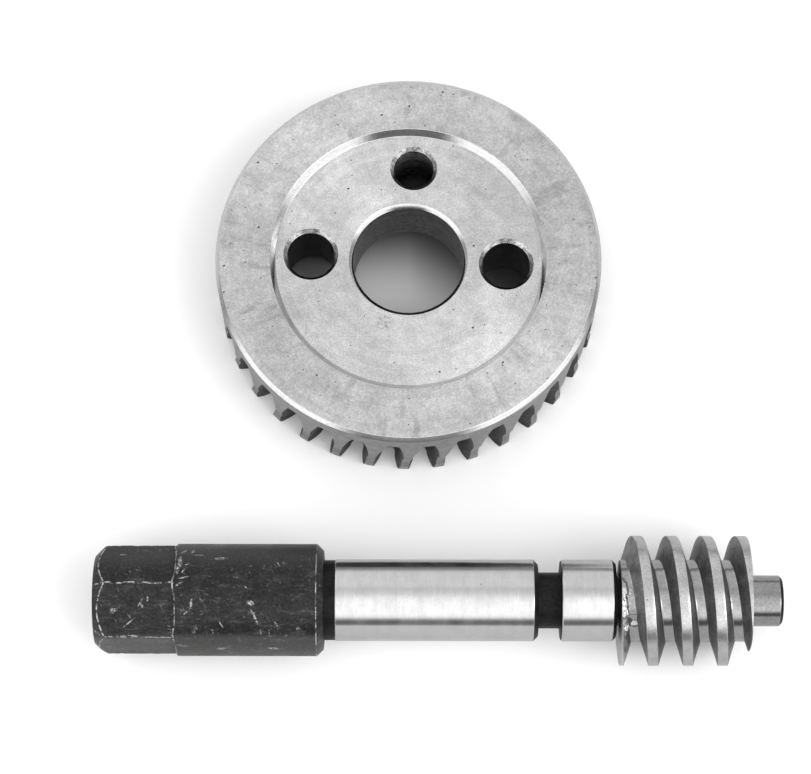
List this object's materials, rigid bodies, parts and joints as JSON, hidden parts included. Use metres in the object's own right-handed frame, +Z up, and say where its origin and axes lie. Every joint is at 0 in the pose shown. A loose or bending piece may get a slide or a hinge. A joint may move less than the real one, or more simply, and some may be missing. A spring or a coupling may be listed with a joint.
{
  "type": "worm gear set",
  "caption": "Right-hand steel worm on a hex-driven stepped shaft, with its throated worm wheel bored and drilled for a hub.",
  "frame": {"origin": "middle of the set's footprint on the ground: the bottom centre of its bounding box, with the wheel lying on its back face", "axes": "+X along the shaft from the hex end to the plain end, +Y from the shaft towards the wheel, +Z up along the wheel's bore and out of its recessed face"},
  "size_m": [0.1346, 0.1214, 0.0255],
  "materials": {
    "wheel_steel": "turned, light grey, with faint stains",
    "shaft_steel": "scratched black oxide on the hex, collar and grooves; ground bright on the journals and the pin",
    "worm_steel": "cut thread with bright crests and darker flanks",
    "key_steel": "bright drawn bar"
  },
  "bodies": {
    "wheel": {"worm_wheel": "wheel_steel"},
    "shaft": {"worm_shaft": "shaft_steel", "worm": "worm_steel", "worm_key": "key_steel"}
  },
  "joints": [
    {"name": "shaft_spin", "type": "hinge", "parent": "wheel", "child": "shaft", "pos_m": [0, -0.04793, 0.0128], "axis": [1, 0, 0], "continuous": true}
  ]
}
